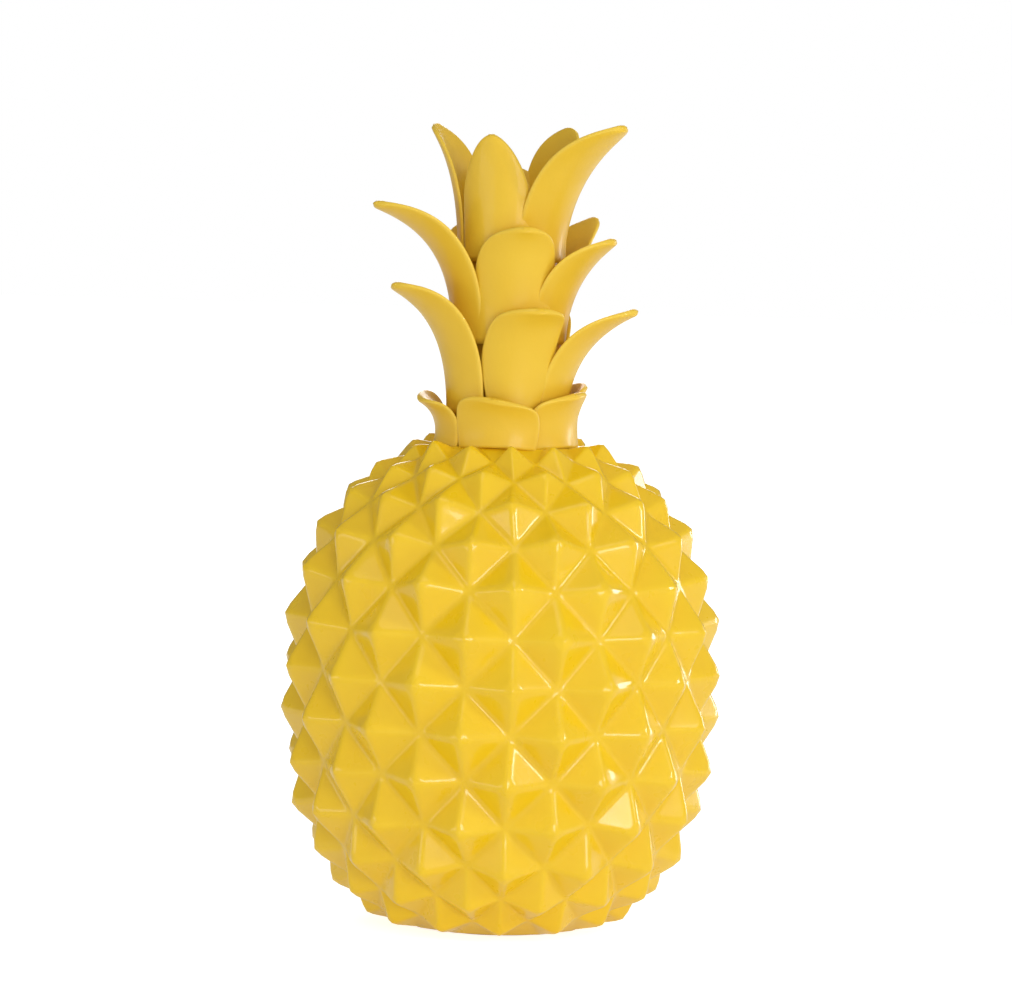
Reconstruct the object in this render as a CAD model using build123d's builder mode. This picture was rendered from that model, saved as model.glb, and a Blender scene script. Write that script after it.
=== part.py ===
"""Pineapple jar: a faceted, hollow body closed by a lift-out crown of leaves.

Millimetres, +Z up.  The origin is the middle of the flat base, -Y is the front.
"""
import os
from math import acos, asin, atan2, copysign, cos, degrees, hypot, pi, radians, sin

from build123d import *

# ---- body: a barrel-like egg of revolution that carries staggered rows of pyramid scales ----
WAIST_RADIUS = 74.1          # valley radius at the widest height
WAIST_HEIGHT = 97.5
SHOULDER_RISE = 85.2         # full height of the curve above the waist
SHOULDER_POWER = 2.15        # 2 would be an ellipse, more is fuller
BASE_DROP = 103.2            # full height of the curve below the waist, cut off by the foot
BASE_POWER = 2.55
FOOT_HEIGHT = 1.0            # the shell stops here, the pad reaches down to zero
RIM_RADIUS = 26.4            # valley radius where the rows end round the crown
SCALES_AROUND = 14
ROW_COUNT = 14               # steps from the foot ring to the rim ring
ROW_SHRINK = 0.6             # how fast the rows close up where the egg narrows
SCALE_PEAK = 8.2             # how far a scale's tip stands out at the waist
PEAK_SHRINK = 0.2
LEVEL_FLATTEN = 0.7          # how much lower the scales are where they face up or down
LAST_TIP_OUT = 0.4           # the last scales are folded up against the crown
LAST_TIP_UP = 6.5
SCALE_TURN = -9.8            # angle of the first valley from the front

# ---- hollow of the body ----
CAVITY_RADIUS = 67.8
CAVITY_RISE = 72.8
CAVITY_DROP = 99.0
CAVITY_POWER = 2.5
CAVITY_POINTS = 12
FLOOR_HEIGHT = 8.0
NECK_RADIUS = 20.6
RECESS_RADIUS = 24.9
RECESS_FLOOR = 172.0
PAD_RADIUS = 30.0
PAD_THICKNESS = 2.4
PAD_CLEARANCE = 0.3

# ---- crown core: flange, tapered stem and hollow plug in one piece ----
FLANGE_RADIUS = 24.4
FLANGE_TOP = 178.6
STEM_TOP = 266.0
STEM_SIDE = ((22.0, FLANGE_TOP), (19.6, 191.0), (16.4, STEM_TOP))
STEM_NOSE = 4.0              # rounding of the stem's end
PLUG_RADIUS = 19.8
PLUG_BOTTOM = 156.0
CORE_BORE = 13.5
CORE_BORE_TOP = 252.0
GROOVE_BOTTOM = 162.0
GROOVE_HEIGHT = 4.0
GROOVE_DEPTH = 2.0
SEAL_RADIUS = 20.3
SEAL_LIP = 0.8

# ---- leaves ----
LEAF_THICKNESS = 3.0         # along the middle of a leaf
LEAF_EDGE = 1.8              # at its two edges
LEAF_STATIONS = (0.0, 0.16, 0.34, 0.52, 0.7, 0.85, 0.95, 1.0)
LEAF_SINK = 0.5              # how far a leaf's foot is let into the stem before trimming
LEAF_GAP = 0.5               # degrees between neighbouring leaves at the stem
WIDEST_AT = 0.42             # where along its rib a leaf is widest
FOOT_WIDTH = 0.93            # widths at the foot and the tip, as shares of the widest
TIP_WIDTH = 0.14
TIP_BLUNTNESS = 2.6          # more keeps a leaf wide for longer
TIP_ROUNDNESS = 0.62         # less rounds the tip more
RIB_RISE = (0.50, 0.82)      # heights where a rib leaves the stem and turns outwards, as shares
RIB_SPREAD = 0.40            # how far out it turns, as a share of its spread
ARCH_RISE = (0.08, 0.04)     # what one unit of arch changes in the three numbers above
ARCH_SPREAD = 0.07
RIB_STEP = 0.01              # over which a rib's direction is taken
CUP_OPENING = 0.45           # how much flatter a leaf's cup is at its tip

# each tier: name, foot height, half width, depth of the cup across the foot, flare of the foot
# each leaf: azimuth from the front towards +X, reach of the tip, height of the tip,
# sideways lean of the tip, arch of the rib
TIERS = (
    ("collar_leaf", 178.2, 15.2, 5.2, 1.8, (
        (-10, 30.0, 196.8, 0, 0), (55, 29.8, 198.2, 1, 0), (101, 28.3, 201.2, 0, 0),
        (190, 33.0, 197.0, 0, 0), (280, 34.2, 195.6, 0, 0))),
    ("lower_leaf", 189.5, 14.8, 5.4, 0.0, (
        (4, 32.0, 227.4, 11, 1.5), (73, 48.0, 229.4, 0, 0), (160, 40.0, 229.0, 0, 0),
        (230, 36.0, 226.0, 0, 0), (296, 48.4, 236.8, 0, 1.0))),
    ("middle_leaf", 216.0, 14.4, 5.4, 0.0, (
        (-1, 30.0, 257.8, 2.5, 1.5), (64, 41.0, 255.1, 0, -0.3), (134, 40.5, 262.0, 0, 0),
        (213, 34.0, 258.5, 0, 0), (290, 54.6, 266.1, 0, 1.3))),
    ("top_leaf", 246.0, 13.4, 5.0, 0.0, (
        (-25, 22.0, 292.4, 0, 0), (47, 53.0, 296.3, 0, -0.2), (128, 24.5, 295.4, 0, 0.5),
        (190, 21.0, 281.0, 0, 0), (251, 32.5, 295.4, 0, 0))),
)


def bulge(share, power):
    """Height of a quarter curve at a share of its length: an ellipse if power is 2, fuller above."""
    return (1 - abs(share) ** power) ** (1 / power)


def egg_radius(height):
    """Valley radius of the body at a height."""
    if height > WAIST_HEIGHT:
        return WAIST_RADIUS * bulge((height - WAIST_HEIGHT) / SHOULDER_RISE, SHOULDER_POWER)
    return WAIST_RADIUS * bulge((WAIST_HEIGHT - height) / BASE_DROP, BASE_POWER)


def cavity_side():
    """Points up the inner wall of the body, from its flat floor to the neck."""
    half_power = CAVITY_POWER / 2
    floor_turn = -asin(((WAIST_HEIGHT - FLOOR_HEIGHT) / CAVITY_DROP) ** half_power)
    neck_turn = acos((NECK_RADIUS / CAVITY_RADIUS) ** half_power)
    points = []
    for step in range(CAVITY_POINTS):
        turn = floor_turn + (neck_turn - floor_turn) * step / (CAVITY_POINTS - 1)
        span = copysign(CAVITY_RISE if turn > 0 else CAVITY_DROP, turn)
        radius = CAVITY_RADIUS * cos(turn) ** (1 / half_power)
        points.append((radius, WAIST_HEIGHT + span * abs(sin(turn)) ** (1 / half_power)))
    return points


def row_heights():
    """Heights of the valley rows: their pitch shrinks with the girth of the egg."""
    rim_height = WAIST_HEIGHT + SHOULDER_RISE * bulge(RIM_RADIUS / WAIST_RADIUS, SHOULDER_POWER)
    samples = 4000
    height_step = (rim_height - FOOT_HEIGHT) / samples
    heights = [FOOT_HEIGHT + height_step * i for i in range(samples + 1)]
    travelled = [0.0]
    for low, high in zip(heights, heights[1:]):
        run = hypot(high - low, egg_radius(high) - egg_radius(low))
        girth = (egg_radius(low) / WAIST_RADIUS) ** ROW_SHRINK
        travelled.append(travelled[-1] + run / girth)
    rows = []
    for row in range(ROW_COUNT + 1):
        wanted = travelled[-1] * row / ROW_COUNT
        rows.append(min(zip(travelled, heights), key=lambda pair: abs(pair[0] - wanted))[1])
    return rows


def around(radius, height, angle):
    """A point at an angle from the front (-Y) towards +X."""
    turn = radians(angle)
    return Vector(radius * sin(turn), -radius * cos(turn), height)


def scaled_body():
    """The closed faceted skin of the body: four facets rise to each scale's tip."""
    heights = row_heights()
    pitch = 360 / SCALES_AROUND

    def valley(row, column):
        stagger = 0.5 * ((row + 1) % 2)
        return around(egg_radius(heights[row]), heights[row], SCALE_TURN + (column + stagger) * pitch)

    def tip(row, column):
        below, above = heights[row - 1], heights[row + 1]
        slope = atan2(egg_radius(below) - egg_radius(above), above - below)
        radius = egg_radius(heights[row])
        peak = SCALE_PEAK * (radius / WAIST_RADIUS) ** PEAK_SHRINK
        peak *= 1 - LEVEL_FLATTEN * abs(sin(slope)) ** 3
        out, up = peak * cos(slope), peak * sin(slope)
        if row == ROW_COUNT - 1:
            out, up = LAST_TIP_OUT, LAST_TIP_UP
        stagger = 0.5 * ((row + 1) % 2)
        return around(radius + out, heights[row] + up, SCALE_TURN + (column + stagger + 0.5) * pitch)

    faces = []
    columns = range(SCALES_AROUND)
    for row in range(1, ROW_COUNT):
        for column in columns:
            middle = column + (row + 1) % 2
            ring = (valley(row, column), valley(row + 1, middle),
                    valley(row, column + 1), valley(row - 1, middle))
            peak = tip(row, column)
            for first, second in zip(ring, ring[1:] + ring[:1]):
                faces.append(Face(Wire.make_polygon((peak, second, first))))
    for row, beside in ((0, 1), (ROW_COUNT, ROW_COUNT - 1)):
        end_cap = []
        for column in columns:
            middle = column + (row + 1) % 2
            flat_facet = [valley(row, column), valley(row, column + 1), valley(beside, middle)]
            faces.append(Face(Wire.make_polygon(flat_facet if row == 0 else flat_facet[::-1])))
            end_cap.append(valley(row, column))
        faces.append(Face(Wire.make_polygon(end_cap[::-1] if row == 0 else end_cap)))
    return Solid(Shell(faces))


def stem_radius(height):
    """Outer radius of the crown's tapered stem at a height."""
    for (low_radius, low), (high_radius, high) in zip(STEM_SIDE, STEM_SIDE[1:]):
        if height <= high:
            break
    return low_radius + (high_radius - low_radius) * (height - low) / (high - low)


def finish(piece, name):
    """Label a finished piece and write it."""
    piece.part.label = name
    export_step(piece.part, f"parts/{name}.step")


os.makedirs("parts", exist_ok=True)

# ---- body shell ----
skin = scaled_body()
with BuildPart() as body_shell:
    add(skin)
    # inside of the jar, an egg with a flat floor
    with BuildSketch(Plane.XZ):
        with BuildLine():
            side = Spline(*cavity_side())
            Polyline(side @ 1, (0, (side @ 1).Y), (0, FLOOR_HEIGHT), side @ 0)
        make_face()
    revolve(axis=Axis.Z, mode=Mode.SUBTRACT)
    # neck bore, then the recess that the crown's flange sits in
    with BuildSketch(Plane.XY.offset(WAIST_HEIGHT)):
        Circle(NECK_RADIUS)
    extrude(amount=SHOULDER_RISE, mode=Mode.SUBTRACT)
    with BuildSketch(Plane.XY.offset(RECESS_FLOOR)):
        Circle(RECESS_RADIUS)
    extrude(amount=SHOULDER_RISE, mode=Mode.SUBTRACT)
    # shallow pocket under the foot for the pad
    with BuildSketch(Plane.XY):
        Circle(PAD_RADIUS + PAD_CLEARANCE)
    extrude(amount=PAD_THICKNESS, mode=Mode.SUBTRACT)
finish(body_shell, "body_shell")

# ---- pad glued under the foot ----
with BuildPart() as base_pad:
    with BuildSketch():
        Circle(PAD_RADIUS)
    extrude(amount=PAD_THICKNESS)
finish(base_pad, "base_pad")

# ---- crown core ----
with BuildPart() as crown_core:
    with BuildSketch(Plane.XZ):
        with BuildLine():
            Polyline(
                (CORE_BORE, PLUG_BOTTOM),
                (PLUG_RADIUS, PLUG_BOTTOM),
                (PLUG_RADIUS, GROOVE_BOTTOM),
                (PLUG_RADIUS - GROOVE_DEPTH, GROOVE_BOTTOM),
                (PLUG_RADIUS - GROOVE_DEPTH, GROOVE_BOTTOM + GROOVE_HEIGHT),
                (PLUG_RADIUS, GROOVE_BOTTOM + GROOVE_HEIGHT),
                (PLUG_RADIUS, RECESS_FLOOR),
                (FLANGE_RADIUS, RECESS_FLOOR),
                (FLANGE_RADIUS, FLANGE_TOP),
                *STEM_SIDE,
                (0, STEM_TOP),
                (0, CORE_BORE_TOP),
                (CORE_BORE, CORE_BORE_TOP),
                close=True,
            )
        make_face()
    revolve(axis=Axis.Z)
    fillet(crown_core.edges().filter_by(GeomType.CIRCLE).sort_by(Axis.Z)[-1], radius=STEM_NOSE)
finish(crown_core, "crown_core")

# ---- silicone seal in the plug's groove: a band with two lips ----
with BuildPart() as seal_ring:
    with BuildSketch(Plane.XY.offset(GROOVE_BOTTOM)):
        Circle(SEAL_RADIUS - SEAL_LIP)
        Circle(PLUG_RADIUS - GROOVE_DEPTH, mode=Mode.SUBTRACT)
    extrude(amount=GROOVE_HEIGHT)
    for lip_bottom in (GROOVE_BOTTOM, GROOVE_BOTTOM + GROOVE_HEIGHT - SEAL_LIP):
        with BuildSketch(Plane.XY.offset(lip_bottom)):
            Circle(SEAL_RADIUS)
            Circle(SEAL_RADIUS - SEAL_LIP, mode=Mode.SUBTRACT)
        extrude(amount=SEAL_LIP)
finish(seal_ring, "seal_ring")


# ---- leaves ----
def rib_point(controls, along):
    """Radius and height at a share of the way along a leaf's rib."""
    rest = 1 - along
    weights = (rest ** 3, 3 * along * rest ** 2, 3 * along ** 2 * rest, along ** 3)
    return (sum(weight * point[0] for weight, point in zip(weights, controls)),
            sum(weight * point[1] for weight, point in zip(weights, controls)))


def half_width(widest, along):
    """Half the width of a leaf: widest before the middle, then tapering to a blunt tip."""
    if along < WIDEST_AT:
        return widest * (FOOT_WIDTH + (1 - FOOT_WIDTH) * sin(pi / 2 * along / WIDEST_AT))
    taper = (along - WIDEST_AT) / (1 - WIDEST_AT)
    return widest * max(TIP_WIDTH, (1 - taper ** TIP_BLUNTNESS) ** TIP_ROUNDNESS)


def leaf_sections(tier, leaf):
    """Crescent sections square to the rib, from the foot to the tip."""
    _, foot_height, widest, cup, flare, _ = tier
    azimuth, reach, tip_height, lean, arch = leaf
    foot = stem_radius(foot_height) + LEAF_THICKNESS / 2 - LEAF_SINK
    rise, spread = tip_height - foot_height, reach - foot
    # upright at the foot, then arching out, all the more bent if the arch is high
    shares = [share + change * arch for share, change in zip(RIB_RISE, ARCH_RISE)]
    rib = ((foot + flare, foot_height),
           (foot, foot_height + shares[0] * rise),
           (foot + (RIB_SPREAD - ARCH_SPREAD * arch) * spread, foot_height + shares[1] * rise),
           (reach, tip_height))
    side = around(1, 0, azimuth + 90)
    sections = []
    for along in LEAF_STATIONS:
        radius, height = rib_point(rib, along)
        ahead = rib_point(rib, min(1.0, along + RIB_STEP))
        behind = rib_point(rib, max(0.0, along - RIB_STEP))
        climb = degrees(atan2(ahead[1] - behind[1], ahead[0] - behind[0]))
        outward = around(sin(radians(climb)), -cos(radians(climb)), azimuth)
        origin = around(radius, height, azimuth) + side * (lean * along ** 2)
        plane = Plane(origin=origin, x_dir=side, z_dir=side.cross(outward))
        width = half_width(widest, along)
        sag = cup * (1 - CUP_OPENING * along) * (width / widest) ** 2
        sections.append((plane, width, sag))
    return sections


with BuildPart() as stem_cutter:
    with BuildSketch(Plane.XZ):
        with BuildLine():
            Polyline((0, FLANGE_TOP), *STEM_SIDE, (0, STEM_TOP), close=True)
        make_face()
    revolve(axis=Axis.Z)


def build_leaf(name, tier, leaf, wedge):
    """One leaf: a cupped blade, trimmed to the stem and to its own sector of the crown."""
    reach = 2 * WAIST_RADIUS
    with BuildPart() as blade:
        for plane, width, sag in leaf_sections(tier, leaf):
            half_edge = LEAF_EDGE / 2
            with BuildSketch(plane):
                with BuildLine():
                    ThreePointArc((-width, half_edge - sag), (0, LEAF_THICKNESS / 2), (width, half_edge - sag))
                    Line((width, half_edge - sag), (width, -half_edge - sag))
                    ThreePointArc((width, -half_edge - sag), (0, -LEAF_THICKNESS / 2), (-width, -half_edge - sag))
                    Line((-width, -half_edge - sag), (-width, half_edge - sag))
                make_face()
        loft()
        add(stem_cutter.part, mode=Mode.SUBTRACT)
        with BuildSketch(Plane.XY.offset(FLANGE_TOP)):
            with BuildLine():
                start, end = around(reach, 0, wedge[0]), around(reach, 0, wedge[1])
                Polyline((0, 0), (start.X, start.Y), (end.X, end.Y), close=True)
            make_face()
        extrude(amount=reach, mode=Mode.INTERSECT)
    finish(blade, name)


for tier in TIERS:
    azimuths = [leaf[0] for leaf in tier[5]]
    for index, leaf in enumerate(tier[5]):
        before = azimuths[index - 1] - (360 if index == 0 else 0)
        after = azimuths[(index + 1) % len(azimuths)] + (360 if index == len(azimuths) - 1 else 0)
        wedge = ((before + leaf[0]) / 2 + LEAF_GAP / 2, (after + leaf[0]) / 2 - LEAF_GAP / 2)
        build_leaf(f"{tier[0]}_{index + 1}", tier, leaf, wedge)
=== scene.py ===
"""Looks of the pineapple jar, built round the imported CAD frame. Metres, -Y is the front."""
import random
from collections import namedtuple
from math import acos, asin, atan2, copysign, cos, hypot, pi, radians, sin, sqrt

import bmesh
import bpy
from mathutils import Matrix, Quaternion, Vector, noise


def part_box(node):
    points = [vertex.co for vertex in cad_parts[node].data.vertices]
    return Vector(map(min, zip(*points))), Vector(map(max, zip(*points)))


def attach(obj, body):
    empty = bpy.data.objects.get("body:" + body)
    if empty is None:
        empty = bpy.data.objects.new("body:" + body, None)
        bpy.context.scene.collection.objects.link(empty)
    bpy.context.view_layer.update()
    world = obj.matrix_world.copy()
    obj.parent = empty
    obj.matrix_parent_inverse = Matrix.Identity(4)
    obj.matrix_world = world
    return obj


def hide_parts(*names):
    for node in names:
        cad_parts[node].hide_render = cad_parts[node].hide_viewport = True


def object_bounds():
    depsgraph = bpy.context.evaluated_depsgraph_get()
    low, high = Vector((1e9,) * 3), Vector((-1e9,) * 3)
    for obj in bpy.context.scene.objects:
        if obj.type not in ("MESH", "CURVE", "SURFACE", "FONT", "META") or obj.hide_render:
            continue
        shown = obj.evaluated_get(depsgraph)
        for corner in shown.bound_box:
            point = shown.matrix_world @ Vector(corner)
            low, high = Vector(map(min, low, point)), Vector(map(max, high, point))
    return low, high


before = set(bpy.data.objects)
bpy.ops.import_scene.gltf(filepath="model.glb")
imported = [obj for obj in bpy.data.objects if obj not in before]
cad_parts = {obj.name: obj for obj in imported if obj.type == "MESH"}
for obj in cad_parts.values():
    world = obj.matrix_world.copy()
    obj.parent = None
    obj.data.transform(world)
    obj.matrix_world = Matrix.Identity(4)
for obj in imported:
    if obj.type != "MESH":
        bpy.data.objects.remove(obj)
CAD_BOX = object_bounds()
MM = 0.001

# ---- driving dimensions of the body, as in the CAD model ----
WAIST_RADIUS = 74.1 * MM
WAIST_HEIGHT = 97.5 * MM
SHOULDER_RISE = 85.2 * MM
SHOULDER_POWER = 2.15
BASE_DROP = 103.2 * MM
BASE_POWER = 2.55
RIM_RADIUS = 26.4 * MM
SCALES_AROUND = 14
ROW_COUNT = 14               # steps from the foot ring to the rim ring
ROW_SHRINK = 0.6             # power of the girth that the rows' pitch follows
SCALE_PEAK = 9.65 * MM       # before the ridges are rounded off
PEAK_SHRINK = 0.2            # power of the girth that the scales' height follows
LEVEL_FLATTEN = 0.7          # how much lower the scales are where they face up or down
LAST_TIP_OUT = 0.4 * MM      # the last scales are folded up against the crown
LAST_TIP_UP = 7.6 * MM
LAST_TIP_RANGE = (0.6, 1.02)  # unevenly so: shares of the height above
SCALE_TURN = -9.8            # degrees
CAVITY_RADIUS = 67.8 * MM
CAVITY_RISE = 72.8 * MM
CAVITY_DROP = 99.0 * MM
CAVITY_POWER = 2.5
FLOOR_HEIGHT = 8.0 * MM
NECK_RADIUS = 20.6 * MM
RECESS_RADIUS = 24.9 * MM
RECESS_FLOOR = 172.0 * MM
POCKET_RADIUS = 30.3 * MM

# ---- mesh detail of the body ----
FACET_STEPS = 16             # rows of small triangles in each facet
WELD = 0.02 * MM             # corners of neighbouring facets this close are one
ROUNDING_PASSES = 4
TIP_PASSES = 9               # more of them at the tips of the scales ...
TIP_RELIEF = 0.75            # ... from this share of the way up a facet
ROUNDING_SHARE = 0.4
PEAK_WANDER = 0.8 * MM       # hand-made unevenness of the scales
NODE_WANDER = 0.6 * MM
CROWDED_ROWS = 3             # top rows, squeezed round the crown, are less even
CROWDED_WANDER = 1.8
GLAZE_WAVE = 0.12 * MM
GLAZE_WAVE_SIZE = 11 * MM
GIRTH_SAMPLES = 4000         # steps in which the egg's side is measured
CAVITY_STEPS = 40            # rings of the hollow
FLOOR_RINGS = (0.8, 0.55, 0.3, 0.1)   # shares of the hollow's floor radius
NECK_SOFTNESS = 0.5 * MM     # rounding of the recess and the neck
POCKET_SOFTNESS = 0.4 * MM

FOOT_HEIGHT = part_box("body_shell")[0].z
PAD_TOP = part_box("base_pad")[1].z
random.seed(7)


def around(radius, height, angle):
    """A point at an angle in degrees from the front (-Y) towards +X."""
    turn = radians(angle)
    return Vector((radius * sin(turn), -radius * cos(turn), height))


def new_object(name, mesh, smooth=True):
    """Link a mesh as an object of the scene."""
    piece = bpy.data.objects.new(name, mesh)
    bpy.context.scene.collection.objects.link(piece)
    for face in mesh.polygons:
        face.use_smooth = smooth
    return piece


# ---------------------------------------------------------------- body
def bulge(share, power):
    """Height of a quarter curve at a share of its length: an ellipse if power is 2, fuller above."""
    return (1 - abs(share) ** power) ** (1 / power)


def egg_radius(height):
    """Valley radius of the body at a height."""
    if height > WAIST_HEIGHT:
        return WAIST_RADIUS * bulge((height - WAIST_HEIGHT) / SHOULDER_RISE, SHOULDER_POWER)
    return WAIST_RADIUS * bulge((WAIST_HEIGHT - height) / BASE_DROP, BASE_POWER)


def row_heights():
    """Heights of the valley rows: their pitch shrinks with the girth of the egg."""
    rim_height = WAIST_HEIGHT + SHOULDER_RISE * bulge(RIM_RADIUS / WAIST_RADIUS, SHOULDER_POWER)
    height_step = (rim_height - FOOT_HEIGHT) / GIRTH_SAMPLES
    heights = [FOOT_HEIGHT + height_step * step for step in range(GIRTH_SAMPLES + 1)]
    travelled = [0.0]
    for low, high in zip(heights, heights[1:]):
        run = hypot(high - low, egg_radius(high) - egg_radius(low))
        girth = (egg_radius(low) / WAIST_RADIUS) ** ROW_SHRINK
        travelled.append(travelled[-1] + run / girth)
    rows = []
    for row in range(ROW_COUNT + 1):
        wanted = travelled[-1] * row / ROW_COUNT
        rows.append(min(zip(travelled, heights), key=lambda pair: abs(pair[0] - wanted))[1])
    return rows


def lattice():
    """Valley nodes and scale tips of the whole body, each a little out of true."""
    heights = row_heights()
    pitch = 360 / SCALES_AROUND
    nodes, tips = {}, {}
    for row, height in enumerate(heights):
        stagger = 0.5 * ((row + 1) % 2)
        crowding = CROWDED_WANDER if row >= ROW_COUNT - CROWDED_ROWS else 1.0
        for column in range(SCALES_AROUND):
            wander = Vector([random.uniform(-1, 1) for _ in range(3)]) * NODE_WANDER * crowding
            if row in (0, ROW_COUNT):
                wander.zero()
            nodes[row, column] = around(egg_radius(height), height,
                                        SCALE_TURN + (column + stagger) * pitch) + wander
        if row in (0, ROW_COUNT):
            continue
        below, above = heights[row - 1], heights[row + 1]
        slope = atan2(egg_radius(below) - egg_radius(above), above - below)
        radius = egg_radius(height)
        for column in range(SCALES_AROUND):
            peak = SCALE_PEAK * (radius / WAIST_RADIUS) ** PEAK_SHRINK
            peak *= 1 - LEVEL_FLATTEN * abs(sin(slope)) ** 3
            peak -= random.uniform(0, 1) * PEAK_WANDER
            out, up = peak * cos(slope), peak * sin(slope)
            if row == ROW_COUNT - 1:
                out, up = LAST_TIP_OUT, LAST_TIP_UP * random.uniform(*LAST_TIP_RANGE)
            tip = around(radius + out, height + up, SCALE_TURN + (column + stagger + 0.5) * pitch)
            tip.z += random.uniform(-1, 1) * PEAK_WANDER
            tip.rotate(Matrix.Rotation(random.uniform(-1, 1) * crowding * PEAK_WANDER / radius, 3, "Z"))
            tips[row, column] = tip
    return nodes, tips


def add_facet(mesh, layers, corners, raised):
    """A flat facet as a fine grid; a raised one has the tip of its scale as its first corner."""
    steps = FACET_STEPS
    grid = {}
    for i in range(steps + 1):
        for j in range(steps + 1 - i):
            share = (1 - (i + j) / steps, i / steps, j / steps)
            point = sum((corner * part for corner, part in zip(corners, share)), Vector())
            vertex = mesh.verts.new(point)
            # relief also masks the painted shade in the grooves, and the second number the painted
            # highlight along the ridges
            vertex[layers["relief"]] = share[0] if raised else 3 * min(share)
            vertex[layers["ridge"]] = 2 * min(share[1], share[2]) if raised else 1.0
            grid[i, j] = vertex
    for i in range(steps):
        for j in range(steps - i):
            mesh.faces.new((grid[i, j], grid[i + 1, j], grid[i, j + 1]))
            if i + j < steps - 1:
                mesh.faces.new((grid[i + 1, j], grid[i + 1, j + 1], grid[i, j + 1]))


def round_edges(mesh, relief):
    """Soften ridges and grooves, and then the tips, by averaging; rims stay put."""
    tips = [vertex for vertex in mesh.verts if vertex[relief] > TIP_RELIEF]
    for step in range(ROUNDING_PASSES + TIP_PASSES):
        moved = {}
        for vertex in mesh.verts if step < ROUNDING_PASSES else tips:
            if vertex.is_boundary:
                continue
            others = [edge.other_vert(vertex).co for edge in vertex.link_edges]
            moved[vertex] = vertex.co.lerp(sum(others, Vector()) / len(others), ROUNDING_SHARE)
        for vertex, place in moved.items():
            vertex.co = place


def wave_glaze(mesh):
    """Shallow waves of the poured glaze, pushed inwards only."""
    mesh.normal_update()
    for vertex in mesh.verts:
        if not vertex.is_boundary:
            depth = noise.noise(vertex.co / GLAZE_WAVE_SIZE) - 1
            vertex.co += vertex.normal * depth * GLAZE_WAVE


def add_rings(mesh, rim, profile, flip):
    """Turned surface from a rim loop through (radius, height) points, closed at its middle."""
    previous = rim
    angles = [atan2(vertex.co.y, vertex.co.x) for vertex in rim]
    for radius, height in profile:
        ring = [mesh.verts.new((radius * cos(a), radius * sin(a), height)) for a in angles]
        for index in range(len(ring)):
            after = (index + 1) % len(ring)
            quad = (previous[index], previous[after], ring[after], ring[index])
            mesh.faces.new(quad[::-1] if flip else quad)
        previous = ring
    centre = mesh.verts.new((0, 0, profile[-1][1]))
    for index in range(len(previous)):
        after = (index + 1) % len(previous)
        fan = (previous[index], previous[after], centre)
        mesh.faces.new(fan[::-1] if flip else fan)


def inside_profile(rim_height):
    """(radius, height) points from the rim down the recess and neck and round the hollow."""
    soft = NECK_SOFTNESS
    eased = 0.3 * soft       # how far the middle of a quarter round stands off its corner
    profile = [(RECESS_RADIUS + soft, rim_height), (RECESS_RADIUS + eased, rim_height - eased),
               (RECESS_RADIUS, rim_height - soft), (RECESS_RADIUS, RECESS_FLOOR + soft),
               (RECESS_RADIUS - soft, RECESS_FLOOR), (NECK_RADIUS + soft, RECESS_FLOOR),
               (NECK_RADIUS, RECESS_FLOOR - soft)]
    half_power = CAVITY_POWER / 2
    floor_turn = -asin(((WAIST_HEIGHT - FLOOR_HEIGHT) / CAVITY_DROP) ** half_power)
    neck_turn = acos((NECK_RADIUS / CAVITY_RADIUS) ** half_power)
    for step in range(CAVITY_STEPS + 1):
        turn = neck_turn + (floor_turn - neck_turn) * step / CAVITY_STEPS
        span = copysign(CAVITY_RISE if turn > 0 else CAVITY_DROP, turn)
        radius = CAVITY_RADIUS * cos(turn) ** (1 / half_power)
        profile.append((radius, WAIST_HEIGHT + span * abs(sin(turn)) ** (1 / half_power)))
    floor_radius = profile[-1][0]
    profile += [(floor_radius * share, FLOOR_HEIGHT) for share in FLOOR_RINGS]
    return profile


def build_body():
    """The jar's body: rounded facets outside, turned hollow inside, pocket under the foot."""
    nodes, tips = lattice()
    mesh = bmesh.new()
    layers = {key: mesh.verts.layers.float.new(key) for key in ("relief", "ridge")}

    def node(row, column):
        return nodes[row, column % SCALES_AROUND]

    for row in range(1, ROW_COUNT):
        for column in range(SCALES_AROUND):
            middle = column + (row + 1) % 2
            ring = (node(row, column), node(row + 1, middle),
                    node(row, column + 1), node(row - 1, middle))
            for first, second in zip(ring, ring[1:] + ring[:1]):
                add_facet(mesh, layers, (tips[row, column], second, first), True)
    for row, beside in ((0, 1), (ROW_COUNT, ROW_COUNT - 1)):
        for column in range(SCALES_AROUND):
            middle = column + (row + 1) % 2
            corners = [node(row, column), node(row, column + 1), node(beside, middle)]
            add_facet(mesh, layers, corners if row == 0 else corners[::-1], False)
    bmesh.ops.remove_doubles(mesh, verts=mesh.verts, dist=WELD)
    round_edges(mesh, layers["relief"])
    wave_glaze(mesh)
    rims = {True: [], False: []}
    for vertex in mesh.verts:
        if vertex.is_boundary:
            rims[vertex.co.z > WAIST_HEIGHT].append(vertex)
    for rim in rims.values():
        rim.sort(key=lambda vertex: atan2(vertex.co.y, vertex.co.x))
    add_rings(mesh, rims[True], inside_profile(nodes[ROW_COUNT, 0].z), flip=False)
    pocket = [(POCKET_RADIUS + POCKET_SOFTNESS, FOOT_HEIGHT),
              (POCKET_RADIUS, FOOT_HEIGHT + POCKET_SOFTNESS),
              (POCKET_RADIUS, PAD_TOP), (POCKET_RADIUS * 0.5, PAD_TOP)]
    add_rings(mesh, rims[False], pocket, flip=True)
    bmesh.ops.recalc_face_normals(mesh, faces=mesh.faces)
    data = bpy.data.meshes.new("pineapple_body")
    mesh.to_mesh(data)
    mesh.free()
    return new_object("pineapple_body", data)


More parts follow.
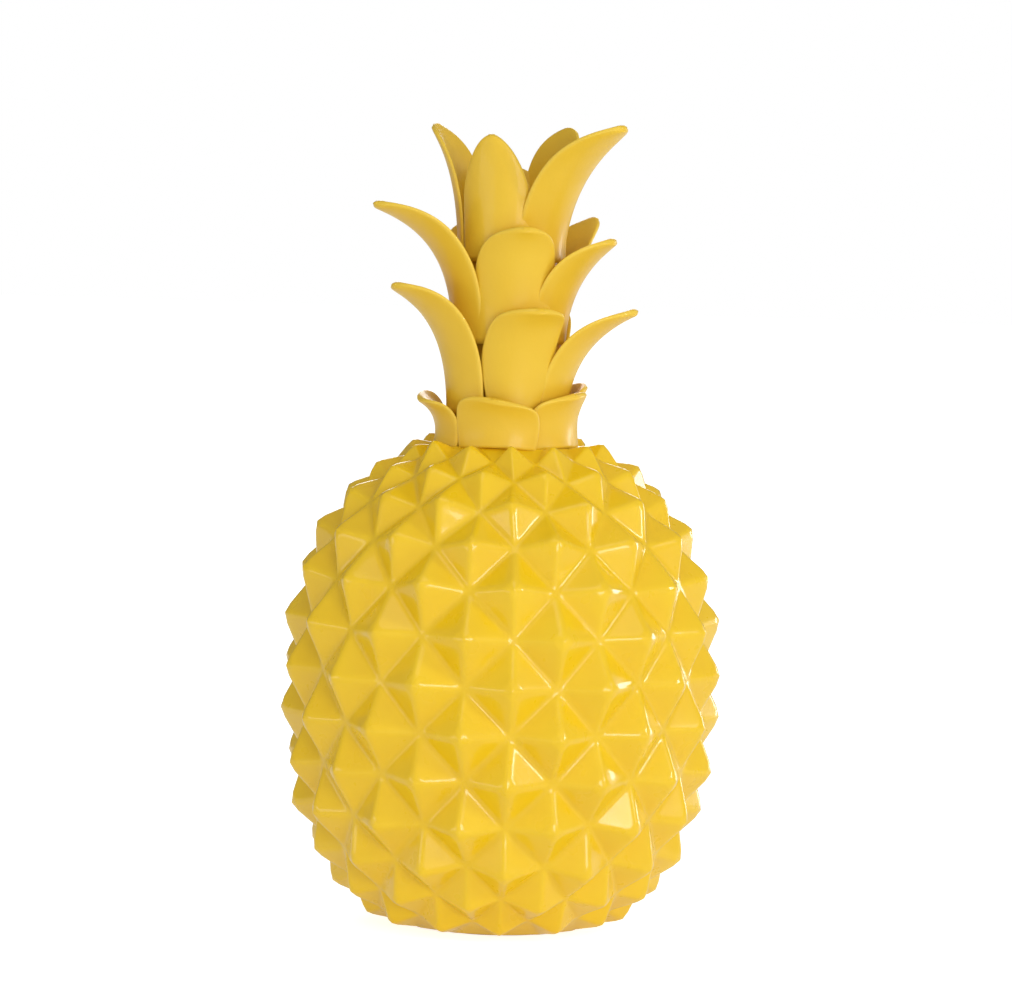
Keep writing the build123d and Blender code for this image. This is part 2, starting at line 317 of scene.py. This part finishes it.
# ---------------------------------------------------------------- crown
STEM_SIDE = ((22.0 * MM, 178.6 * MM), (19.6 * MM, 191.0 * MM), (16.4 * MM, 266.0 * MM))
LEAF_STEPS = 48              # rings along a leaf
STEP_BUNCHING = 1.5          # how much closer the rings are towards the tip
LEAF_AROUND = 48             # points in a ring
LEAF_THICKNESS = 3.0 * MM
RIB_OFFSET = 0.3             # how far off the stem a rib starts, as a share of the thickness
PROUD = (1.4, -0.4, 0, 0, 1.3)   # mm further off: front, right, back right, back left, left leaf
WIDEST_AT = 0.42             # where along its rib a leaf is widest
FOOT_WIDTH = 0.93            # widths at the foot and the tip, as shares of the widest
TIP_WIDTH = 0.09
TIP_ROUNDNESS = 0.62
THIN_TIP = 0.25              # thickness at the very tip, as a share of the full one
RIB_RISE = (0.50, 0.82)      # middle control points of a rib: shares of its rise ...
RIB_SPREAD = 0.40            # ... and of its spread
ARCH_RISE = (0.08, 0.04)     # what an arch of 1 adds to these shares ...
ARCH_SPREAD = 0.07           # ... and takes off this one
EDGE_SHARPNESS = 0.48        # power of a leaf's cross section: 1 is an ellipse, 0 a slab
EDGE_THINNING = 0.2          # how much thinner a leaf is at its edges
FOLD_FROM = 0.6              # where along a leaf its fold starts
RIM_HIGHLIGHT_POWER = 6                # the higher, the narrower the painted highlight along a leaf's rim

# A tier's sizes are in mm. A leaf's azimuth and twist are in degrees and its reach, tip height, cup,
# lean, fold and slant in mm. Lean moves the tip sideways. Arch bends the rib outwards later. Fold
# bends the tip's right-hand side outwards, and slant raises it. Width is a share of the tier's.
Tier = namedtuple("Tier", "foot_height half_width foot_cup flare leaves")
Leaf = namedtuple("Leaf", "azimuth reach tip_height bluntness tip_cup lean arch twist fold slant "
                  "width foot_width", defaults=(0, 0, 0, 0, 0, 1, FOOT_WIDTH))
TIERS = {
    "collar_leaf": Tier(178.4, 15.4, 5.2, 1.8, (
        Leaf(-10, 30.0, 196.2, 2.6, 2.0, slant=-2.4),
        Leaf(55, 29.8, 198.2, 2.4, 3.0, lean=1, slant=1.8),
        Leaf(101, 28.3, 201.2, 3.0, 2.5),
        Leaf(190, 33.0, 197.0, 1.9, 2.5),
        Leaf(280, 34.2, 195.6, 2.6, 4.0, twist=12))),
    "lower_leaf": Tier(189.5, 14.8, 5.4, 0, (
        Leaf(5, 32.0, 229.4, 4.0, 2.0, lean=8, arch=1.5, fold=3.0, width=0.91, foot_width=0.62),
        Leaf(73, 48.0, 229.4, 2.6, 3.0),
        Leaf(160, 40.0, 229.0, 2.6, 3.0),
        Leaf(230, 36.0, 226.0, 2.6, 3.0),
        Leaf(296, 48.4, 236.8, 3.3, 3.0, arch=0.8, twist=-6))),
    "middle_leaf": Tier(216.0, 14.4, 5.4, 0, (
        Leaf(-1, 30.0, 258.8, 2.2, 2.5, lean=5, arch=1.5, fold=1.0),
        Leaf(64, 41.0, 255.1, 2.5, 3.0, arch=-0.3),
        Leaf(134, 39.5, 262.0, 1.4, 3.0, lean=-3),
        Leaf(213, 34.0, 258.5, 2.5, 3.0),
        Leaf(290, 54.6, 266.1, 3.3, 3.0, arch=1.0, twist=-6))),
    "top_leaf": Tier(246.0, 13.4, 5.0, 0, (
        Leaf(-25, 22.0, 292.4, 1.15, 3.5),
        Leaf(47, 53.0, 296.3, 2.6, 3.0, arch=-0.2),
        Leaf(128, 24.5, 295.4, 2.1, 3.0, lean=-1, arch=0.5),
        Leaf(190, 21.0, 281.0, 2.6, 3.0),
        Leaf(251, 32.5, 295.4, 2.4, 3.0))),
}


def stem_radius(height):
    """Radius of the crown's stem at a height."""
    for (low_radius, low), (high_radius, high) in zip(STEM_SIDE, STEM_SIDE[1:]):
        if height <= high:
            break
    return low_radius + (high_radius - low_radius) * (height - low) / (high - low)


def bezier(controls, along):
    """Point and direction on a cubic curve."""
    a, b, c, d = controls
    rest = 1 - along
    point = a * rest ** 3 + b * 3 * along * rest ** 2 + c * 3 * along ** 2 * rest + d * along ** 3
    heading = (b - a) * rest ** 2 + (c - b) * 2 * along * rest + (d - c) * along ** 2
    return point, heading.normalized()


def leaf_width(leaf, along):
    """Share of the full half width along a leaf, from its foot to its rounded tip."""
    if along < WIDEST_AT:
        return leaf.foot_width + (1 - leaf.foot_width) * sin(pi / 2 * along / WIDEST_AT)
    taper = (along - WIDEST_AT) / (1 - WIDEST_AT)
    return max(TIP_WIDTH, max(0.0, 1 - taper ** leaf.bluntness) ** TIP_ROUNDNESS)


def leaf_rib(tier, leaf, proud):
    """Control points of a leaf's rib: upright along the stem, then arching out."""
    foot_height = tier.foot_height * MM
    foot = stem_radius(foot_height) + LEAF_THICKNESS * RIB_OFFSET + proud * MM
    spread = leaf.reach * MM - foot
    rise = leaf.tip_height * MM - foot_height
    low, high = [share + add * leaf.arch for share, add in zip(RIB_RISE, ARCH_RISE)]
    rib = ((foot + tier.flare * MM, 0),
           (foot, low * rise),
           (foot + (RIB_SPREAD - ARCH_SPREAD * leaf.arch) * spread, high * rise),
           (foot + spread, rise))
    return [around(radius, foot_height + height, leaf.azimuth) for radius, height in rib]


def leaf_axes(leaf, controls, along):
    """A point of a leaf's rib and its directions across and out of the blade."""
    side = around(1, 0, leaf.azimuth + 90)
    point, heading = bezier(controls, along)
    point += side * (leaf.lean * MM) * along ** 2
    across = (side - heading * side.dot(heading)).normalized()
    across.rotate(Quaternion(heading, -radians(leaf.twist) * along ** 2))
    return point, across, across.cross(heading).normalized()


def leaf_thickness(rib_length, along):
    """Full thickness of a blade, rounded off over the last half thickness to its tip."""
    short = max(0, 1 - (1 - along) * rib_length / (0.5 * LEAF_THICKNESS))
    return LEAF_THICKNESS * max(THIN_TIP, sqrt(1 - short ** 2))


def leaf_ring(mesh, rim, tier, leaf, controls, along):
    """One cross section of a leaf: rounded edges, cupped middle, folded and slanted near the tip."""
    point, across, outward = leaf_axes(leaf, controls, along)
    share_wide = leaf_width(leaf, along)
    width = tier.half_width * MM * leaf.width * share_wide
    sag = (tier.foot_cup + (leaf.tip_cup - tier.foot_cup) * along) * MM * share_wide ** 2
    thick = leaf_thickness((controls[-1] - controls[0]).length, along)
    fold = leaf.fold * MM * (max(0, along - FOLD_FROM) / (1 - FOLD_FROM)) ** 2
    ring = []
    for index in range(LEAF_AROUND):
        turn = 2 * pi * index / LEAF_AROUND
        share = cos(turn)
        face = (1 - EDGE_THINNING * share ** 2) * copysign(abs(sin(turn)) ** EDGE_SHARPNESS, sin(turn))
        out = thick / 2 * face - sag * share ** 2 + fold * max(0, share * share_wide) ** 2
        vertex = mesh.verts.new(point + across * (share * width) + outward * out)
        vertex.co.z += leaf.slant * MM * share * share_wide * along ** 2
        # mask of the painted highlight along the leaf's edges
        vertex[rim] = abs(share) ** RIM_HIGHLIGHT_POWER
        ring.append(vertex)
    return ring


def build_leaf(name, tier, leaf, proud):
    """A thick cupped blade with rounded edges that hugs the stem and arches outwards."""
    controls = leaf_rib(tier, leaf, proud)
    mesh = bmesh.new()
    rim = mesh.verts.layers.float.new("rim")
    rings = []
    for step in range(LEAF_STEPS + 1):
        along = 1 - (1 - step / LEAF_STEPS) ** STEP_BUNCHING
        rings.append(leaf_ring(mesh, rim, tier, leaf, controls, along))
    for low, high in zip(rings, rings[1:]):
        for index in range(LEAF_AROUND):
            after = (index + 1) % LEAF_AROUND
            mesh.faces.new((low[index], low[after], high[after], high[index]))
    mesh.faces.new(rings[0][::-1])
    mesh.faces.new(rings[-1])
    bmesh.ops.recalc_face_normals(mesh, faces=mesh.faces)
    data = bpy.data.meshes.new(name)
    mesh.to_mesh(data)
    mesh.free()
    return new_object(name, data)


# ---------------------------------------------------------------- materials
# colours of a glaze: its base, a deeper one for random pools (and on the body for the painted shade in
# the grooves), and a paler one for the painted highlight along ridges and leaf rims
BODY_YELLOWS = ((0.84, 0.55, 0.008, 1), (0.74, 0.42, 0.004, 1), (0.90, 0.66, 0.08, 1))
CROWN_YELLOWS = ((0.80, 0.52, 0.034, 1), (0.72, 0.43, 0.014, 1), (0.88, 0.64, 0.10, 1))
SILICONE_GREYS = ((0.72, 0.72, 0.68, 1), (0.82, 0.82, 0.79, 1))
CORK_BROWNS = ((0.42, 0.25, 0.12, 1), (0.62, 0.42, 0.24, 1))
PAPER_WHITES = ((0.78, 0.78, 0.78, 1), (0.80, 0.80, 0.80, 1))
WHITE = (1, 1, 1, 1)
# noise scales, in waves per metre
BODY_POOLS = 60
CROWN_POOLS = 45
GLOSS_PATCHES = 140
ORANGE_PEEL = 900
SILICONE_SPECKS = 400
CORK_GRAINS = 650
PAPER_CLOUDS = 3


def node_material(name):
    """A fresh node material with its node tree and its shader."""
    material = bpy.data.materials.new(name)
    material.use_nodes = True
    tree = material.node_tree
    shader = tree.nodes["Principled BSDF"]
    return material, tree, shader


def add_node(tree, kind, **inputs):
    """A node with some of its inputs set."""
    node = tree.nodes.new(kind)
    for key, value in inputs.items():
        node.inputs[key].default_value = value
    return node


def mix_colour(tree, factor, first, second):
    """Mix two colours or sockets by a factor socket or number."""
    node = tree.nodes.new("ShaderNodeMix")
    node.data_type = "RGBA"
    for socket, value in ((node.inputs[0], factor), (node.inputs[6], first), (node.inputs[7], second)):
        if hasattr(value, "links"):
            tree.links.new(value, socket)
        else:
            socket.default_value = value
    return node.outputs[2]


def remap(tree, value, low, high, out_low, out_high):
    """Map a socket's value from one range to another, clamped."""
    node = tree.nodes.new("ShaderNodeMapRange")
    tree.links.new(value, node.inputs[0])
    for index, number in zip(range(1, 5), (low, high, out_low, out_high)):
        node.inputs[index].default_value = number
    return node.outputs[0]


def noise_socket(tree, scale, detail=2.0):
    """Noise in the object's own metres."""
    where = tree.nodes.new("ShaderNodeTexCoord")
    node = add_node(tree, "ShaderNodeTexNoise", Scale=scale, Detail=detail)
    tree.links.new(where.outputs["Object"], node.inputs["Vector"])
    return node.outputs[0]


def attribute(tree, name):
    """A number stored on the mesh."""
    node = tree.nodes.new("ShaderNodeAttribute")
    node.attribute_name = name
    return node.outputs["Fac"]


def add_bump(tree, shader, height, strength, distance):
    """Bump from a height socket."""
    bump = add_node(tree, "ShaderNodeBump", Strength=strength, Distance=distance)
    tree.links.new(height, bump.inputs["Height"])
    tree.links.new(bump.outputs[0], shader.inputs["Normal"])


def finish_glaze(tree, shader, colour, roughness, specular, coat):
    """What both glazes share: slightly uneven gloss, clear coat and faint orange peel."""
    tree.links.new(colour, shader.inputs["Base Color"])
    patches = noise_socket(tree, GLOSS_PATCHES)
    gloss = remap(tree, patches, 0.3, 0.7, roughness * 0.85, roughness * 1.2)
    tree.links.new(gloss, shader.inputs["Roughness"])
    shader.inputs["IOR"].default_value = 1.5
    shader.inputs["Specular IOR Level"].default_value = specular
    shader.inputs["Coat Weight"].default_value = coat
    shader.inputs["Coat Roughness"].default_value = 0.04
    add_bump(tree, shader, noise_socket(tree, ORANGE_PEEL), strength=0.10, distance=0.4 * MM)


def body_glaze():
    """Opaque yellow glaze: a touch deeper in random pools, with painted shade darker towards the
    grooves and a painted highlight paler along the ridges.
    """
    material, tree, shader = node_material("body_glaze")
    base, deep, painted_highlight = BODY_YELLOWS
    pools = remap(tree, noise_socket(tree, BODY_POOLS, 3), 0.35, 0.65, 0, 0.2)
    # painted shade: the colour darkens towards the grooves between the facets
    grooves = remap(tree, attribute(tree, "relief"), 0.0, 0.10, 0.2, 0)
    # painted highlight: the colour pales along the ridges
    ridges = remap(tree, attribute(tree, "ridge"), 0.0, 0.07, 0.06, 0)
    colour = mix_colour(tree, pools, base, deep)
    colour = mix_colour(tree, grooves, colour, deep)
    colour = mix_colour(tree, ridges, colour, painted_highlight)
    finish_glaze(tree, shader, colour, roughness=0.30, specular=0.3, coat=0.5)
    return material


def crown_glaze():
    """The same glaze, thinner and more satin over the leaves, with a painted highlight paler along
    their rims.
    """
    material, tree, shader = node_material("crown_glaze")
    base, deep, painted_highlight = CROWN_YELLOWS
    pools = remap(tree, noise_socket(tree, CROWN_POOLS, 3), 0.35, 0.65, 0, 0.3)
    # painted highlight: the colour pales towards the leaf's edges
    rims = remap(tree, attribute(tree, "rim"), 0.6, 1.0, 0, 0.35)
    colour = mix_colour(tree, pools, base, deep)
    colour = mix_colour(tree, rims, colour, painted_highlight)
    finish_glaze(tree, shader, colour, roughness=0.42, specular=0.3, coat=0.12)
    return material


def silicone():
    """Milky silicone of the seal."""
    material, tree, shader = node_material("silicone")
    speck = noise_socket(tree, SILICONE_SPECKS)
    colour = mix_colour(tree, speck, *SILICONE_GREYS)
    tree.links.new(colour, shader.inputs["Base Color"])
    tree.links.new(remap(tree, speck, 0.3, 0.7, 0.32, 0.45), shader.inputs["Roughness"])
    return material


def cork():
    """Pressed cork granules of the pad."""
    material, tree, shader = node_material("cork")
    where = tree.nodes.new("ShaderNodeTexCoord")
    grains = add_node(tree, "ShaderNodeTexVoronoi", Scale=CORK_GRAINS)
    tree.links.new(where.outputs["Object"], grains.inputs["Vector"])
    colour = mix_colour(tree, grains.outputs["Color"], *CORK_BROWNS)
    tree.links.new(colour, shader.inputs["Base Color"])
    shader.inputs["Roughness"].default_value = 0.85
    add_bump(tree, shader, grains.outputs["Distance"], strength=0.6, distance=0.6 * MM)
    return material


def give(piece, material):
    """Give a piece one material."""
    piece.data.materials.clear()
    piece.data.materials.append(material)


# ---------------------------------------------------------------- stage, camera and light
FLOOR_HALF = 6.0
FLOOR_GLOW = (0.25, 0.80)    # emission for light and for the camera
AIM_SHARE = 0.5296           # height of the camera's aim, as a share of the object's
CAMERA_DISTANCE = 1.8
CAMERA_ELEVATION = radians(4.4)
CAMERA_ROLL = radians(1.75)
LENS = 173.1                 # focal length and sensor width, mm
SENSOR = 36
BRIGHTEST_SKY = (0.12, -0.98, 0.15)   # a direction
SKY_STRENGTH = (0.12, 0.70)  # opposite it and in it
SKY_SEEN = 1.0               # what the camera sees
LAMPS_AIM = Vector((0, 0, 0.15))
# azimuth from the front and elevation (degrees), distance, (width, height), power (W)
LAMPS = {
    "key": (19, 6, 1.6, (0.6, 0.45), 6.2),
    "top": (0, 60, 1.6, (1.0, 0.8), 2.5),
    "window": (64, 16, 1.5, (0.14, 0.4), 4.0),
    "fill": (-60, 0, 1.6, (1.2, 0.26), 2.3),
    "rim": (128, 4, 1.5, (0.3, 0.5), 4.0),
    "back": (180, 20, 1.8, (0.8, 0.8), 8.0),
}


def build_floor():
    """A large white floor that glows a little, as a lit sheet of paper does."""
    data = bpy.data.meshes.new("floor")
    corners = [(x * FLOOR_HALF, y * FLOOR_HALF, 0) for x, y in ((-1, -1), (1, -1), (1, 1), (-1, 1))]
    data.from_pydata(corners, [], [(0, 1, 2, 3)])
    floor = new_object("floor", data, smooth=False)
    material, tree, shader = node_material("floor_paper")
    tone = mix_colour(tree, noise_socket(tree, PAPER_CLOUDS), *PAPER_WHITES)
    tree.links.new(tone, shader.inputs["Base Color"])
    shader.inputs["Roughness"].default_value = 0.9
    shader.inputs["Specular IOR Level"].default_value = 0.1
    shader.inputs["Emission Color"].default_value = WHITE
    seen = tree.nodes.new("ShaderNodeLightPath").outputs["Is Camera Ray"]
    tree.links.new(remap(tree, seen, 0, 1, *FLOOR_GLOW), shader.inputs["Emission Strength"])
    give(floor, material)


def build_camera():
    """Long lens, a little above the middle of the object, rolled as a hand-held camera is."""
    low, high = CAD_BOX
    aim = Vector((0, 0, low.z + (high.z - low.z) * AIM_SHARE))
    data = bpy.data.cameras.new("camera")
    data.lens = LENS
    data.sensor_width = SENSOR
    camera = bpy.data.objects.new("camera", data)
    bpy.context.scene.collection.objects.link(camera)
    back = Vector((0, -cos(CAMERA_ELEVATION), sin(CAMERA_ELEVATION)))
    camera.location = aim + back * CAMERA_DISTANCE
    camera.rotation_mode = "QUATERNION"
    turn = (-back).to_track_quat("-Z", "Y")
    camera.rotation_quaternion = turn @ Matrix.Rotation(CAMERA_ROLL, 3, "Z").to_quaternion()
    bpy.context.scene.camera = camera


def add_lamp(name, azimuth, elevation, distance, size, power):
    """A soft box that faces the middle of the object."""
    data = bpy.data.lights.new(name, "AREA")
    data.shape = "RECTANGLE"
    data.size, data.size_y = size
    data.energy = power
    lamp = bpy.data.objects.new(name, data)
    bpy.context.scene.collection.objects.link(lamp)
    offset = around(cos(radians(elevation)), sin(radians(elevation)), azimuth) * distance
    lamp.location = LAMPS_AIM + offset
    lamp.rotation_mode = "QUATERNION"
    lamp.rotation_quaternion = (-offset).to_track_quat("-Z", "Y")


def build_world():
    """White surroundings, lit more from the front than from behind."""
    world = bpy.data.worlds.new("studio")
    bpy.context.scene.world = world
    world.use_nodes = True
    tree = world.node_tree
    where = tree.nodes.new("ShaderNodeTexCoord")
    towards = tree.nodes.new("ShaderNodeVectorMath")
    towards.operation = "DOT_PRODUCT"
    tree.links.new(where.outputs["Generated"], towards.inputs[0])
    towards.inputs[1].default_value = Vector(BRIGHTEST_SKY).normalized()
    strength = remap(tree, towards.outputs["Value"], -1, 1, *SKY_STRENGTH)
    seen = tree.nodes.new("ShaderNodeLightPath").outputs["Is Camera Ray"]
    backdrop = tree.nodes.new("ShaderNodeMix")
    tree.links.new(seen, backdrop.inputs[0])
    tree.links.new(strength, backdrop.inputs[2])
    backdrop.inputs[3].default_value = SKY_SEEN
    background = tree.nodes["Background"]
    background.inputs[0].default_value = WHITE
    tree.links.new(backdrop.outputs[0], background.inputs[1])


# ---------------------------------------------------------------- assemble
build_camera()
body = build_body()
give(body, body_glaze())
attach(body, "body")
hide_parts("body_shell")

CROWN_GLAZE = crown_glaze()
for tier_name, tier in TIERS.items():
    for index, leaf in enumerate(tier.leaves):
        node_name = f"{tier_name}_{index + 1}"
        piece = build_leaf(f"glazed_{node_name}", tier, leaf, PROUD[index])
        give(piece, CROWN_GLAZE)
        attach(piece, "crown")
        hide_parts(node_name)

give(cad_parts["crown_core"], CROWN_GLAZE)
give(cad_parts["seal_ring"], silicone())
give(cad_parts["base_pad"], cork())

build_floor()
build_world()
for lamp_name, lamp_setting in LAMPS.items():
    add_lamp(lamp_name, *lamp_setting)
bpy.context.scene.view_settings.view_transform = "Standard"
